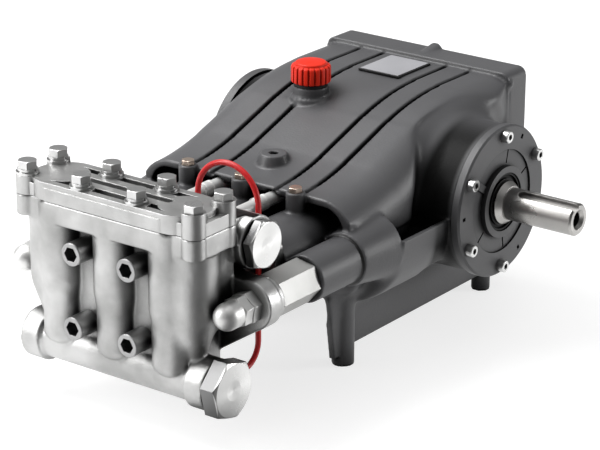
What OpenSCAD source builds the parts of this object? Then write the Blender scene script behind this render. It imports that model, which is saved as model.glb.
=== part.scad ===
/* [Crankcase] */
// height of the flat rear part of the top
top_z = 249; // [220:1:280]
// radius of the rib on the rear flange
lift_r = 10; // [7:0.5:12]
// rise of the rib towards the rear
lift_a = 11.3; // [5:0.1:20]
// front edge of the hood
hood_y = -175; // [-200:1:-150]
// front face of the rear flange
flange_y = 138; // [130:1:150]
// rear face of the rear flange
rear_y = 176; // [160:0.1:190]
// half width of the rear flange
flange_x = 122; // [115:0.1:130]
// top of the rear flange
flange_z = 254.2; // [250:0.1:265]
// half width of the casting
body_x = 140; // [132:0.5:144]
// radius of the rounded top edges
edge_r = 42; // [34:1:44]
// radius of the hump
hump_r = 343; // [250:1:450]
// radius of the dip in front of the hump
dip_r = 313; // [250:1:450]
// slope between hump and dip
slope_a = 18.8; // [12:0.1:25]
// length of the straight slope
slope_len = 63; // [30:1:90]
// wall of the hood around the front pocket
hood_wall = 8; // [5:0.5:12]
// depth of the front pocket under the hood
pocket_depth = 28; // [15:1:40]
// width of the four grooves on top
groove_w = 5; // [3:0.5:6]
// depth of the four grooves on top
groove_d = 4; // [1:0.5:5]
// half distance between the inner grooves
groove_in_x = 42.1; // [35:0.1:50]
// half distance between the outer grooves
groove_out_x = 73.4; // [60:0.1:80]
// rear end of the grooves
groove_rear_y = 137; // [120:1:140]
// front face of the crosshead housing
guide_y = -246; // [-255:1:-235]
// radius of the three crosshead housings
guide_r = 40; // [36:1:42]
// radius of the tie rod bosses
boss_r = 25; // [22:0.5:28]
// half distance of the tie rod bosses
boss_x = 129; // [125:0.5:133]
// half width of the casting at the hood edge
hood_x = 133; // [128:0.5:138]
// rear face of the swellings around the tie rod bosses
swell_y = -124; // [-135:1:-110]
// radius of the side panels under the shelf
panel_r = 85; // [80:1:88]
// depth of the pocket in the shelf beside the drum
shelf_d = 18; // [4:0.5:20]
// rim left outside the pocket in the shelf
shelf_rim = 5; // [3:0.5:6]
// radius of the vent boss
vent_r = 14.5; // [12:0.5:18]
// place of the vent boss along the pump
vent_y = -124; // [-135:1:-110]
// top of the vent boss
vent_z = 210; // [204:0.5:214]
// hood screws in front of the hood
hood_bolt_y = -179.9; // [-184:0.1:-176]
// top of the bosses under the hood screws
hood_boss_z = 198; // [194:0.5:200]

/* [Feet] */
// half distance between the feet across the pump
foot_x = 98.1; // [90:0.1:110]
// half distance between the feet along the pump
foot_y = 132.65; // [120:0.05:140]
// radius of the front feet
front_foot_r = 12; // [9:0.5:15]
// radius of the rear feet
rear_foot_r = 10.5; // [9:0.5:15]
// radius of the threaded holes up the feet
foot_hole_r = 5.1; // [4:0.1:7]
// depth of the threaded holes up the feet
foot_hole_depth = 30; // [15:1:40]
// lower edge of the skirt between the feet
skirt_z = 19; // [10:1:40]
// thickness of the skirt between the feet
skirt_t = 9; // [6:0.5:14]

/* [Crankshaft] */
// crankshaft axis along the pump
shaft_y = 39.7; // [30:0.1:50]
// crankshaft axis above the feet
shaft_z = 148.6; // [140:0.1:155]
// radius of the keyed shaft end
shaft_r = 17.5; // [15:0.5:20]
// drive end of the shaft
shaft_end_x = 274.6; // [260:0.1:290]
// width of the keyway
key_w = 10; // [8:1:12]
// depth of the keyway
key_d = 5; // [4:0.5:6]
// length of the keyway
key_len = 70; // [50:1:75]
// turn of the keyway from the top at rest
key_turn = 22; // [0:1:90]
// radius of the running seat inside the seal
seat_r = 23.5; // [19:0.5:25]
// running clearance of the shaft in its seal
seal_gap = 0.05; // [0.01:0.01:0.1]

/* [Bearing covers] */
// outer radius of both bearing covers
cover_r = 83; // [78:0.5:88]
// thickness of the bearing cover flange
cover_t = 10; // [7:0.5:14]
// chamfer on the outer edge of the drive side cover
cover_edge = 2; // [0.5:0.5:4]
// face of the drive side cover
drive_face_x = 180; // [172:0.5:186]
// face of the blind side cover
blind_face_x = 152; // [145:0.5:186]
// radius of the bearing housing drums
drum_r = 81; // [76:0.5:84]
// screw circle radius
cover_screw_pcr = 72.8; // [68:0.1:76]
// radius of the hub ring around the seal
hub_r = 39; // [34:0.5:44]
// height of the hub ring
hub_h = 4; // [2:0.5:8]
// outer radius of the recess around the hub
recess_r = 57; // [50:0.5:62]
// depth of the recess around the hub
recess_d = 2; // [0.5:0.5:3]
// outer radius of the oil seal
seal_r = 32; // [28:0.5:36]

/* [Filler and plate] */
// filler cap position across the pump
cap_x = -37; // [-50:1:0]
// filler cap position along the pump
cap_y = -9; // [-30:1:20]
// radius of the filler cap
cap_r = 21.7; // [18:0.1:25]
// height of the filler cap
cap_h = 23; // [18:0.5:26]
// top of the collar under the filler cap
collar_z = 249; // [246:0.5:255]
// number of grip ribs on the filler cap
cap_ribs = 20; // [12:1:30]
// width of the blank name plate
plate_w = 50; // [40:1:60]
// length of the blank name plate
plate_l = 60; // [50:1:70]
// front edge of the blank name plate
plate_y = 66.5; // [60:0.5:75]

/* [Manifold] */
// distance between the valve columns
pitch = 70; // [60:1:80]
// front face of the manifold
man_y = -400.4; // [-410:0.1:-390]
// parting plane between manifold and cover
part_z = 219.5; // [210:0.5:230]
// thickness of the cover
lid_t = 19; // [15:0.5:24]
// half width of the manifold and cover flange
lid_x = 115.5; // [112:0.5:118]
// front edge of the flange ends
lid_front_y = -395.5; // [-398:0.5:-392]
// rear edge of the flange
lid_rear_y = -331; // [-334:0.5:-326]
// height of the lower ledge at the cover ends
ledge_t = 13.5; // [10:0.5:16]
// half width of the raised island of the cover
island_r = 15.5; // [14:0.5:19]
// half length of the raised island
island_x = 72; // [66:0.5:76]
// half width of the hollow around the island
moat_r = 25; // [22:0.5:27]
// half length of the straight part of the hollow
moat_x = 75; // [70:0.5:76]
// half length of the slot in the island
slot_x = 61; // [50:0.5:64]
// half width of the slot in the island
slot_r = 4.5; // [3:0.5:6]
// radius of the bosses under the inner cover bolts
bolt_boss_r = 14; // [12:0.5:15]
// thickness of the manifold top flange
man_flange_t = 22.5; // [18:0.5:28]
// half width of the flat front
man_flat_x = 79; // [75:0.5:85]
// half distance of the outer cover bolts
bolt_out_x = 105; // [100:0.5:110]
// half distance of the inner cover bolts
bolt_in_x = 35; // [30:0.5:40]
// front row of cover bolts
bolt_row_f = -387.8; // [-395:0.1:-380]
// rear row of cover bolts
bolt_row_r = -342; // [-350:0.5:-335]
// radius of the corner bosses
corner_r = 12; // [10:0.5:14]
// upper radius of the valve columns
col_r = 25; // [22:0.5:28]
// lower radius of the valve columns
col_low_r = 22.5; // [17:0.5:24]
// bottom of the valve columns
col_low_z = 66; // [60:1:80]
// height where the valve columns neck in
neck_z = 135; // [125:1:140]
// front face of the web between the columns
web_y = -380; // [-390:1:-370]
// axis of the suction tube along the pump
suc_y = -367; // [-375:0.5:-360]
// axis of the suction tube above the feet
suc_z = 61.4; // [55:0.1:68]
// radius of the suction tube
suc_r = 22.5; // [19:0.5:26]
// radius of the suction bosses
suc_boss_r = 26.8; // [24:0.1:30]
// half length over the suction bosses
suc_x = 116.4; // [110:0.1:122]
// radius of the suction port thread
suc_port_r = 19.2; // [15:0.1:22]
// axis of the discharge tube along the pump
dis_y = -306; // [-315:0.5:-298]
// axis of the discharge tube above the feet
dis_z = 192; // [185:0.5:200]
// radius of the discharge bosses
dis_r = 27.4; // [24:0.1:30]
// half length over the discharge bosses
dis_x = 118; // [112:0.5:120]
// radius of the discharge port thread
dis_port_r = 15.2; // [12:0.1:18]
// depth of the open ports on the left side
port_depth = 40; // [20:1:60]
// radius of the shoulders beside the outer columns
swell_r = 26; // [20:0.5:28]
// half width over the shoulders
swell_x = 108; // [100:0.5:112]
// half distance between the side lugs
lug_x = 129; // [122:0.5:135]
// height of the side lugs
lug_z = 137; // [130:0.5:145]
// radius of the side lugs
lug_r = 26; // [22:0.5:30]
// front face of the side lugs
lug_front_y = -333; // [-345:0.5:-325]
// rear face of the side lugs
lug_rear_y = -306; // [-310:0.5:-300]

/* [Packing block and rods] */
// thickness of the packing block flange
block_t = 12; // [8:0.5:16]
// underside of the packing block flange
block_low_z = 102; // [95:0.5:110]
// top of the packing block flange
block_top_z = 172; // [165:0.5:176]
// length of the packing block in front of the housings
nose_l = 34; // [20:0.5:40]
// radius of the glands around the plungers
gland_r = 16; // [15:0.5:16.5]
// radius of the plungers
plunger_r = 13.9; // [10:0.1:14]
// radius of the bores in the crosshead housings
guide_bore_r = 27; // [20:0.5:30]
// depth of the bores in the crosshead housings
guide_depth = 46; // [30:1:60]
// axis of the upper tie rods above the feet
rod_z = 181; // [176:0.5:184]
// radius of the upper tie rods
rod_r = 7.2; // [5:0.1:7.5]
// front end of the upper tie rods
rod_front_y = -292; // [-300:1:-280]

/* [Fasteners] */
// hex size of the cover bolts
bolt_af = 18; // [16:1:19]
// top of the cover bolt heads
bolt_top_z = 252.5; // [248:0.5:258]
// height of the cover bolt heads
bolt_head_h = 8; // [6:0.5:9]
// radius of the socket screw heads
sock_r = 12; // [9:0.5:13]
// front of the socket screw heads
sock_front_y = -406.2; // [-412:0.1:-400]
// upper row of socket screws
sock_up_z = 173.6; // [165:0.1:180]
// lower row of socket screws
sock_low_z = 95.2; // [90:0.1:105]
// hex size of the dome nuts
nut_af = 30; // [27:1:36]
// front of the dome nuts
nut_tip_y = -381.7; // [-388:0.1:-372]
// radius of the dome
dome_r = 14; // [11:0.5:15]
// hex size of the side spacers
spacer_af = 40; // [34:1:42]
// hex size of the suction plug
suc_af = 55; // [46:1:60]
// thickness of the suction plug head
suc_head = 18; // [14:0.5:22]
// hex size of the discharge plug
dis_af = 46; // [41:1:55]
// thickness of the discharge plug head
dis_head = 10; // [8:0.5:15]
// thickness of the split spring washers
spring_t = 3.2; // [2:0.1:4]
// radius of the red leak tube
tube_r = 3; // [2:0.25:4]
// side play between the outer plunger axis and the tube
tube_off = 20; // [18:0.5:22]
// centre height of the half circle of the leak tube
tube_top = 211; // [200:1:220]
// place of the leak tube along the pump
tube_y = -268; // [-275:1:-265]
// centre height of the lower bend of the leak tube
tube_low_z = 69; // [60:1:80]
// radius of the lower bend of the leak tube
tube_low_r = 24; // [18:0.5:26]
// place of the upper fitting across the pump
tube_x = 14; // [10:0.5:20]

/* [Hidden] */
$fn = 64;
lid_top = part_z + lid_t;
hex_k = 1 / cos(30);
lid_mid_y = (man_y + lid_rear_y) / 2;
rod_x = pitch / 2;
washer_t = bolt_top_z - bolt_head_h - lid_top - spring_t;

// direction of the slope between the two arcs of the top
slope_s = sin(slope_a);
slope_c = cos(slope_a);
arc_c = [80, top_z - hump_r];
line_a = [arc_c[0] - hump_r * slope_s, arc_c[1] + hump_r * slope_c];
line_b = [line_a[0] - slope_len * slope_c, line_a[1] - slope_len * slope_s];
dip_c = [line_b[0] - dip_r * slope_s, line_b[1] + dip_r * slope_c];
lap = 8;
sleeve = 0.4;
shelf_x = 82 + panel_r;
dip_a = asin((hood_y - dip_c[0]) / dip_r);

// side outline of the casting above height z0, shrunk by k
module side_shape(k, z0) {
  a = [arc_c[0] - (hump_r - k) * slope_s, arc_c[1] + (hump_r - k) * slope_c];
  b = [dip_c[0] + (dip_r + k) * slope_s, dip_c[1] - (dip_r + k) * slope_c];
  translate([arc_c[0], z0]) square([flange_y + 4 - arc_c[0], top_z - k - z0]);
  intersection() {
    translate(arc_c) circle(hump_r - k, $fn = 360);
    translate([a[0], z0]) square([arc_c[0] - a[0] + 1, 300]);
  }
  polygon([[b[0], z0], b, a, [a[0] + 0.2, a[1]], [a[0] + 0.2, z0]]);
  difference() {
    translate([hood_y, z0]) square([b[0] - hood_y + 0.2, b[1] - z0]);
    translate(dip_c) circle(dip_r + k, $fn = 360);
  }
}

// section of the casting under its top line, which is y = 0, with both top edges rounded
module top_section(depth, grow) {
  translate([-body_x - grow, -depth]) square([2 * (body_x + grow), depth - edge_r]);
  translate([-body_x + edge_r, -edge_r]) square([2 * (body_x - edge_r), edge_r + grow]);
  for (s = [-1, 1]) translate([s * (body_x - edge_r), -edge_r]) circle(edge_r + grow);
}

// the same section swept along flat, hump, slope and dip; straight stretches sleeve a little over the bends
module swept_top(depth) {
  rotate([90, 0, 90]) {
    translate([arc_c[0] - lap, top_z]) rotate([0, 90, 0]) linear_extrude(flange_y + 4 + lap - arc_c[0])
      top_section(depth, sleeve);
    translate(arc_c) rotate([0, 0, 90]) rotate_extrude(angle = slope_a, $fn = 360)
      translate([hump_r, 0]) rotate(-90) top_section(depth, 0);
    translate(line_a) rotate([0, 0, slope_a]) translate([lap, 0]) rotate([0, -90, 0])
      linear_extrude(slope_len + 2 * lap) top_section(depth, sleeve);
    translate(dip_c) rotate([0, 0, -90 + dip_a]) rotate_extrude(angle = slope_a - dip_a, $fn = 360)
      translate([dip_r, 0]) rotate(90) top_section(depth, 0);
  }
}

module across(w) {
  rotate([90, 0, 90]) linear_extrude(w, center = true) children();
}

module along_y(x, z, y0, y1, r) {
  translate([x, y0, z]) rotate([-90, 0, 0]) cylinder(h = y1 - y0, r = r);
}

module along_x(y, z, x0, x1, r) {
  translate([x0, y, z]) rotate([0, 90, 0]) cylinder(h = x1 - x0, r = r);
}

module slab(x0, x1, y0, y1, z0, z1) {
  translate([x0, y0, z0]) cube([x1 - x0, y1 - y0, z1 - z0]);
}

// rectangle from -hx to hx with rounded corners
module round_rect(hx, v0, v1, r) {
  translate([-hx + r, v0]) square([2 * hx - 2 * r, v1 - v0]);
  translate([-hx, v0 + r]) square([2 * hx, v1 - v0 - 2 * r]);
  for (s = [-1, 1]) for (v = [v0 + r, v1 - r]) translate([s * (hx - r), v]) circle(r);
}

// box along y with rounded long edges
module round_box_y(hx, z0, z1, y0, y1, r) {
  translate([0, y1, 0]) rotate([90, 0, 0]) linear_extrude(y1 - y0) round_rect(hx, z0, z1, r);
}

// bar with round ends, half length hx and half width r
module stadium(hx, r) {
  translate([-hx + r, -r]) square([2 * hx - 2 * r, 2 * r]);
  for (s = [-1, 1]) translate([s * (hx - r), 0]) circle(r);
}

// plan of two arcs that narrow the casting from width w0 to w1 over a length
module narrowing(w0, w1, len) {
  r = (len * len + (w0 - w1) * (w0 - w1)) / (2 * (w0 - w1));
  intersection() {
    translate([w0 - r, 0]) circle(r, $fn = 360);
    translate([r - w0, 0]) circle(r, $fn = 360);
  }
}

module plan_shape() {
  translate([-body_x, -100]) square([2 * body_x, shaft_y + 100]);
  intersection() {
    translate([0, -99.9]) narrowing(body_x, hood_x, -hood_y - 100);
    translate([-body_x, -200]) square([2 * body_x, 101]);
  }
  intersection() {
    translate([0, shaft_y]) narrowing(body_x, flange_x - 3, flange_y - shaft_y);
    translate([-body_x, shaft_y - 0.1]) square([2 * body_x, 140]);
  }
}

// underside of the casting, seen from the side
module belly() {
  across(400) polygon([[hood_y - 1, 78], [-130, 70], [-90, 60], [-40, 45], [0, 35], [50, 28], [147, 28],
    [147, 290], [hood_y - 1, 290]]);
}

module casting_body() {
  intersection() {
    union() {
      across(2 * body_x) polygon([[hood_y, 24], [hood_y, 140], [-110, 150], [-60, 166], [0, 187], [40, 193],
        [arc_c[0], top_z - 52], [flange_y + 4, top_z - 52], [flange_y + 4, 24]]);
      swept_top(edge_r + 20);
    }
    linear_extrude(300) plan_shape();
    translate([0, 200, 0]) rotate([90, 0, 0]) linear_extrude(400)
      polygon([[-foot_x, 24], [-foot_x, 60], [-107, 82], [-118, 86], [-129, 110], [-body_x - 1, 125],
        [-body_x - 1, 290], [body_x + 1, 290], [body_x + 1, 125], [129, 110], [118, 86], [107, 82],
        [foot_x, 60], [foot_x, 24]]);
    belly();
  }
}

// lower side panels with the shelf on top, and the swellings around the tie rod bosses
module casting_sides() {
  intersection() {
    for (s = [-1, 1]) intersection() {
      along_y(s * (shelf_x - panel_r), shaft_z, swell_y, shaft_y + 60, panel_r);
      slab(s > 0 ? 40 : -180, s > 0 ? 180 : -40, swell_y - 1, shaft_y + 61, 40, shaft_z);
    }
    belly();
  }
  for (s = [-1, 1]) translate([s * boss_x, hood_y - 3, lug_z]) rotate([-90, 0, 0])
    cylinder(h = swell_y - hood_y + 3, r1 = boss_r + 3.5, r2 = 37);
}

module groove(x) {
  intersection() {
    translate([x, 0, 0]) across(20) difference() {
      translate([hood_y - 10, 150]) square([groove_rear_y - hood_y + 10, 120]);
      side_shape(groove_d, 20);
    }
    linear_extrude(300) polygon([[x - groove_w / 2, hood_y - 10], [x + groove_w / 2, hood_y - 10],
      [x + groove_w * 0.35, groove_rear_y], [x - groove_w * 0.35, groove_rear_y]]);
  }
}

module feet_and_skirts() {
  for (s = [-1, 1]) {
    for (y = [-1, 1]) translate([s * foot_x, y * foot_y, 0]) cylinder(h = 76, r = y < 0 ? front_foot_r : rear_foot_r);
    slab(s * foot_x - skirt_t / 2, s * foot_x + skirt_t / 2, -foot_y, foot_y, skirt_z, 76);
    translate([s * foot_x + 4, 0, 0]) rotate([90, 0, -90]) linear_extrude(8)
      polygon([[foot_y + 6, 11], [foot_y + 20, 11], [foot_y + 31, 82], [foot_y + 6, 82]]);
  }
}

module crankcase() {
  color([0.2, 0.2, 0.21]) difference() {
    union() {
      difference() {
        casting_body();
        round_box_y(hood_x - hood_wall, 70, 186, hood_y - 5, hood_y + pocket_depth, 24);
        for (x = [-groove_out_x, -groove_in_x, groove_in_x, groove_out_x]) groove(x);
      }
      casting_sides();
      for (x = [-pitch, 0, pitch]) {
        along_y(x, lug_z, guide_y, -130, guide_r);
        translate([x, hood_bolt_y, lug_z]) cylinder(h = hood_boss_z - lug_z, r = 10);
      }
      for (s = [-1, 1]) along_y(s * boss_x, lug_z, guide_y, -140, boss_r);
      round_box_y(flange_x, 36, flange_z, flange_y, rear_y, 10);
      along_x(shaft_y, shaft_z, -blind_face_x + cover_t, drive_face_x - cover_t, drum_r);
      feet_and_skirts();
      translate([cap_x, cap_y, collar_z - 15]) cylinder(h = 15, r = 19.5);
      translate([cap_x, cap_y, collar_z - 24]) cylinder(h = 12, r1 = 24, r2 = 22);
      translate([0, vent_y, vent_z - 20]) cylinder(h = 20, r1 = vent_r + 7, r2 = vent_r);
      intersection() {
        translate([2, flange_y - 10, flange_z - lift_r - 4]) rotate([-90 + lift_a, 0, 0]) cylinder(h = 60, r = lift_r);
        slab(-20, 20, flange_y, rear_y, flange_z - 10, flange_z + 20);
      }
      for (s = [-1, 1]) {
        translate([s * (flange_x - 1.5), flange_y + 5, flange_z - 12]) sphere(4.5);
        translate([s * (flange_x - 3.4), flange_y - 1, 60]) cylinder(h = flange_z - 78, r = 2.2);
      }
    }
    for (s = [-1, 1]) {
      translate([s * (flange_x + 0.5), flange_y + 4, 60]) cylinder(h = flange_z - 80, r = 1.8);
      for (y = [-1, 1]) translate([s * foot_x, y * foot_y, -1]) cylinder(h = foot_hole_depth + 1, r = foot_hole_r);
      difference() {
        along_y(s * boss_x, lug_z, hood_y - 4, hood_y + 7, boss_r + 1.6);
        along_y(s * boss_x, lug_z, hood_y - 5, hood_y + 8, boss_r);
        along_y(s * pitch, lug_z, hood_y - 5, hood_y + 8, guide_r);
      }
    }
    translate([0, vent_y, vent_z - 14]) cylinder(h = 20, r = 5);
    for (s = [-1, 1]) slab(s > 0 ? body_x - 3 : -shelf_x + shelf_rim, s > 0 ? shelf_x - shelf_rim : -body_x + 3,
      swell_y + 2, shaft_y - drum_r - 1, shaft_z - shelf_d, shaft_z + 1);
    along_x(shaft_y, shaft_z, -200, -blind_face_x + cover_t, cover_r + 3);
    along_x(shaft_y, shaft_z, 60, 200, seal_r + 8);
    for (x = [-pitch, 0, pitch]) along_y(x, lug_z, guide_y - 1, guide_y + guide_depth, guide_bore_r);
    for (x = [-rod_x, rod_x]) along_y(x, rod_z, hood_y - 40, hood_y + pocket_depth + 4, rod_r + 2);
  }
}

module rear_cover() {
  color([0.22, 0.22, 0.23]) difference() {
    round_box_y(flange_x - 10, 46, flange_z - 10, rear_y, rear_y + 9, 10);
    along_y(0, 90, rear_y + 3, rear_y + 12, 14);
    along_y(0, 60, rear_y + 3, rear_y + 12, 8);
  }
}

module rear_cover_screws() {
  color([0.8, 0.8, 0.8]) for (s = [-1, 1]) for (z = [54, 118, 182, flange_z - 18])
    translate([s * (flange_x - 18), rear_y + 9, z]) rotate([-90, 0, 0]) capped_hex(13, 5.5);
}

module oil_sight_glass() {
  color([0.8, 0.75, 0.5]) along_y(0, 90, rear_y + 3, rear_y + 10, 14);
}

module oil_drain_plug() {
  color([0.8, 0.8, 0.8]) {
    along_y(0, 60, rear_y + 3, rear_y + 10, 8);
    translate([0, rear_y + 9.5, 60]) rotate([-90, 0, 0]) capped_hex(13, 6);
  }
}

// disc, recess with slots, hub ring and one oil rib
module drive_bearing_cover() {
  color([0.21, 0.21, 0.22]) difference() {
    union() {
      along_x(shaft_y, shaft_z, drive_face_x - cover_t, drive_face_x - recess_d, recess_r);
      along_x(shaft_y, shaft_z, drive_face_x - cover_t, drive_face_x + hub_h, hub_r);
      difference() {
        union() {
          along_x(shaft_y, shaft_z, drive_face_x - cover_t, drive_face_x - cover_edge, cover_r);
          translate([drive_face_x - cover_edge, shaft_y, shaft_z]) rotate([0, 90, 0])
            cylinder(h = cover_edge, r1 = cover_r, r2 = cover_r - cover_edge);
        }
        along_x(shaft_y, shaft_z, drive_face_x - cover_t - 1, drive_face_x + 1, recess_r - 0.5);
        for (a = [30, 150, 270]) translate([drive_face_x, shaft_y + cover_screw_pcr * sin(a), shaft_z + cover_screw_pcr * cos(a)])
          rotate([-a, 0, 0]) cube([12, 4, 5], center = true);
      }
      translate([drive_face_x - 4, shaft_y, shaft_z]) rotate([57, 0, 0]) translate([0, -4, hub_r - 2])
        cube([4 - 0.4, 8, recess_r - hub_r + 6]);
    }
    for (a = [-13, -64, -171, 130]) translate([drive_face_x - 4, shaft_y, shaft_z]) rotate([a, 0, 0])
      translate([0, -1, hub_r + 2]) cube([5, 2, recess_r - hub_r - 3]);
    along_x(shaft_y, shaft_z, drive_face_x - 20, drive_face_x + 20, seal_r);
  }
}

module blind_bearing_cover() {
  color([0.21, 0.21, 0.22]) difference() {
    union() {
      along_x(shaft_y, shaft_z, -blind_face_x, -blind_face_x + cover_t, cover_r);
      along_x(shaft_y, shaft_z, -blind_face_x - 4, -blind_face_x + 1, hub_r);
    }
    for (a = [0 : 60 : 300]) along_x(shaft_y + cover_screw_pcr * sin(a), shaft_z + cover_screw_pcr * cos(a),
      -blind_face_x - 1, -blind_face_x + cover_t - 2, 7.5);
  }
}

// hex socket screw head, standing on z = 0
module socket_head(r, h, af) {
  difference() {
    union() {
      cylinder(h = h - 0.7, r = r);
      translate([0, 0, h - 0.7]) cylinder(h = 0.7, r1 = r, r2 = r - 0.7);
    }
    translate([0, 0, h / 2]) cylinder(h = h, r = af * hex_k / 2, $fn = 6);
  }
}

module bearing_cover_screws() {
  color([0.8, 0.8, 0.8]) for (a = [0 : 60 : 300]) {
    translate([drive_face_x, shaft_y + cover_screw_pcr * sin(a), shaft_z + cover_screw_pcr * cos(a)])
      rotate([0, 90, 0]) socket_head(6.5, 8, 6);
    translate([-blind_face_x + cover_t - 2, shaft_y + cover_screw_pcr * sin(a), shaft_z + cover_screw_pcr * cos(a)])
      rotate([0, -90, 0]) socket_head(6.5, 8, 6);
  }
}

module shaft_oil_seal() {
  color([0.05, 0.05, 0.05]) difference() {
    along_x(shaft_y, shaft_z, drive_face_x - cover_t, drive_face_x + hub_h - 1.5, seal_r);
    along_x(shaft_y, shaft_z, drive_face_x - 20, drive_face_x + 20, seat_r + seal_gap);
    difference() {
      along_x(shaft_y, shaft_z, drive_face_x + hub_h - 4, drive_face_x + hub_h, seat_r + 6);
      along_x(shaft_y, shaft_z, drive_face_x + hub_h - 5, drive_face_x + hub_h + 1, seat_r + 2);
    }
  }
}

module crankshaft() {
  color([0.7, 0.7, 0.68]) difference() {
    union() {
      along_x(shaft_y, shaft_z, 80, drive_face_x + hub_h + 2, seat_r);
      translate([drive_face_x + hub_h + 2, shaft_y, shaft_z]) rotate([0, 90, 0])
        cylinder(h = 6, r1 = seat_r, r2 = seat_r - 4.5);
      along_x(shaft_y, shaft_z, drive_face_x, shaft_end_x - 2, shaft_r);
      translate([shaft_end_x - 2, shaft_y, shaft_z]) rotate([0, 90, 0]) cylinder(h = 2, r1 = shaft_r, r2 = shaft_r - 2);
    }
    translate([0, shaft_y, shaft_z]) rotate([key_turn, 0, 0]) {
      slab(shaft_end_x - key_len + key_w / 2, shaft_end_x + 1, -key_w / 2, key_w / 2, shaft_r - key_d, shaft_r + 3);
      translate([shaft_end_x - key_len + key_w / 2, 0, shaft_r - key_d]) cylinder(h = 9, r = key_w / 2);
    }
    along_x(shaft_y, shaft_z, shaft_end_x - 22, shaft_end_x + 1, 7.5);
    translate([shaft_end_x - 3.5, shaft_y, shaft_z]) rotate([0, 90, 0]) cylinder(h = 4.5, r1 = 7.5, r2 = 12);
  }
}

module filler_cap() {
  color([0.85, 0.15, 0.1]) difference() {
    translate([cap_x, cap_y, collar_z + 4]) {
      cylinder(h = cap_h - 3, r = cap_r);
      translate([0, 0, cap_h - 3]) cylinder(h = 2, r1 = cap_r, r2 = cap_r - 2);
      translate([0, 0, cap_h - 2]) cylinder(h = 2, r = cap_r - 4.5);
    }
    for (a = [0 : 360 / cap_ribs : 359]) translate([cap_x, cap_y, collar_z + 8]) rotate([0, 0, a])
      translate([cap_r + 1, 0, 0]) cylinder(h = cap_h, r = 2, $fn = 16);
  }
}

module filler_gasket() {
  color([0.05, 0.05, 0.05]) translate([cap_x, cap_y, collar_z]) cylinder(h = 4, r = 18);
}

module name_plate() {
  color([0.9, 0.9, 0.9]) slab(-plate_w / 2, plate_w / 2, plate_y, plate_y + plate_l, top_z + sleeve + 1.8, top_z + 3);
}

module name_plate_base() {
  color([0.05, 0.05, 0.05]) slab(-plate_w / 2 - 1.5, plate_w / 2 + 1.5, plate_y - 1.5, plate_y + plate_l + 1.5,
    top_z + sleeve, top_z + sleeve + 1.8);
}

module hex_head(af, h) {
  cylinder(h = h, r = af * hex_k / 2, $fn = 6);
}

// hex head with the usual chamfer on its corners
module capped_hex(af, h) {
  top_r = af / 2 - 0.2;
  corner = af * hex_k / 2 + 0.1;
  drop = (corner - top_r) * tan(30);
  intersection() {
    hex_head(af, h);
    union() {
      cylinder(h = h - drop, r = corner);
      translate([0, 0, h - drop]) cylinder(h = drop, r1 = corner, r2 = top_r);
    }
  }
}

module hood_bolts() {
  color([0.85, 0.7, 0.6]) for (x = [-pitch, 0, pitch]) translate([x, hood_bolt_y, hood_boss_z]) rotate([0, 0, 10])
    capped_hex(13, 5);
}

// outline of the manifold top flange and of the cover
module lid_outline() {
  round_rect(lid_x, lid_front_y, lid_rear_y, 10);
  round_rect(man_flat_x, man_y, lid_rear_y, 8);
  for (s = [-1, 1]) for (y = [bolt_row_f, bolt_row_r]) translate([s * bolt_out_x, y]) circle(corner_r);
}

module valve_column(x) {
  translate([x, man_y + col_r, 0]) {
    translate([0, 0, neck_z]) cylinder(h = part_z - 3 - neck_z, r = col_r);
    translate([0, 0, neck_z - 18]) cylinder(h = 18, r1 = col_low_r, r2 = col_r);
    translate([0, 0, col_low_z + 12]) cylinder(h = neck_z - 18 - col_low_z - 12, r = col_low_r);
    translate([0, 0, col_low_z]) rotate_extrude() {
      square([col_low_r - 12, 13]);
      translate([col_low_r - 12, 12]) intersection() {
        circle(12);
        translate([0, -12]) square([12, 13]);
      }
    }
  }
}

// broad shoulder that leads from an outer column round to the lug
module side_swelling(s) {
  translate([s * 88, man_y + swell_r + 6, 0]) {
    translate([0, 0, 126]) cylinder(h = part_z - 128, r = swell_r);
    translate([0, 0, 84]) cylinder(h = 42, r1 = 12, r2 = swell_r);
  }
  slab(s > 0 ? 60 : -swell_x, s > 0 ? swell_x : -60, man_y + swell_r + 6, lug_front_y + 3, 112, part_z - man_flange_t);
}

module side_lug(s) {
  along_y(s * lug_x, lug_z, lug_front_y, lug_rear_y - 8, lug_r);
  along_y(s * lug_x, lug_z, lug_front_y + 10, lug_rear_y, lug_r - 2.5);
  translate([0, lug_rear_y - 4, 0]) rotate([90, 0, 0]) linear_extrude(lug_rear_y - 4 - lug_front_y)
    polygon([[s * 60, lug_z + 32], [s * 88, lug_z + 27], [s * (lug_x - 8), lug_z + lug_r - 2], [s * lug_x, lug_z],
      [s * (lug_x + 13), lug_z - 22], [s * 91, lug_z - 56], [s * 84, lug_z - 50], [s * 60, lug_z - 50]]);
}

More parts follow.
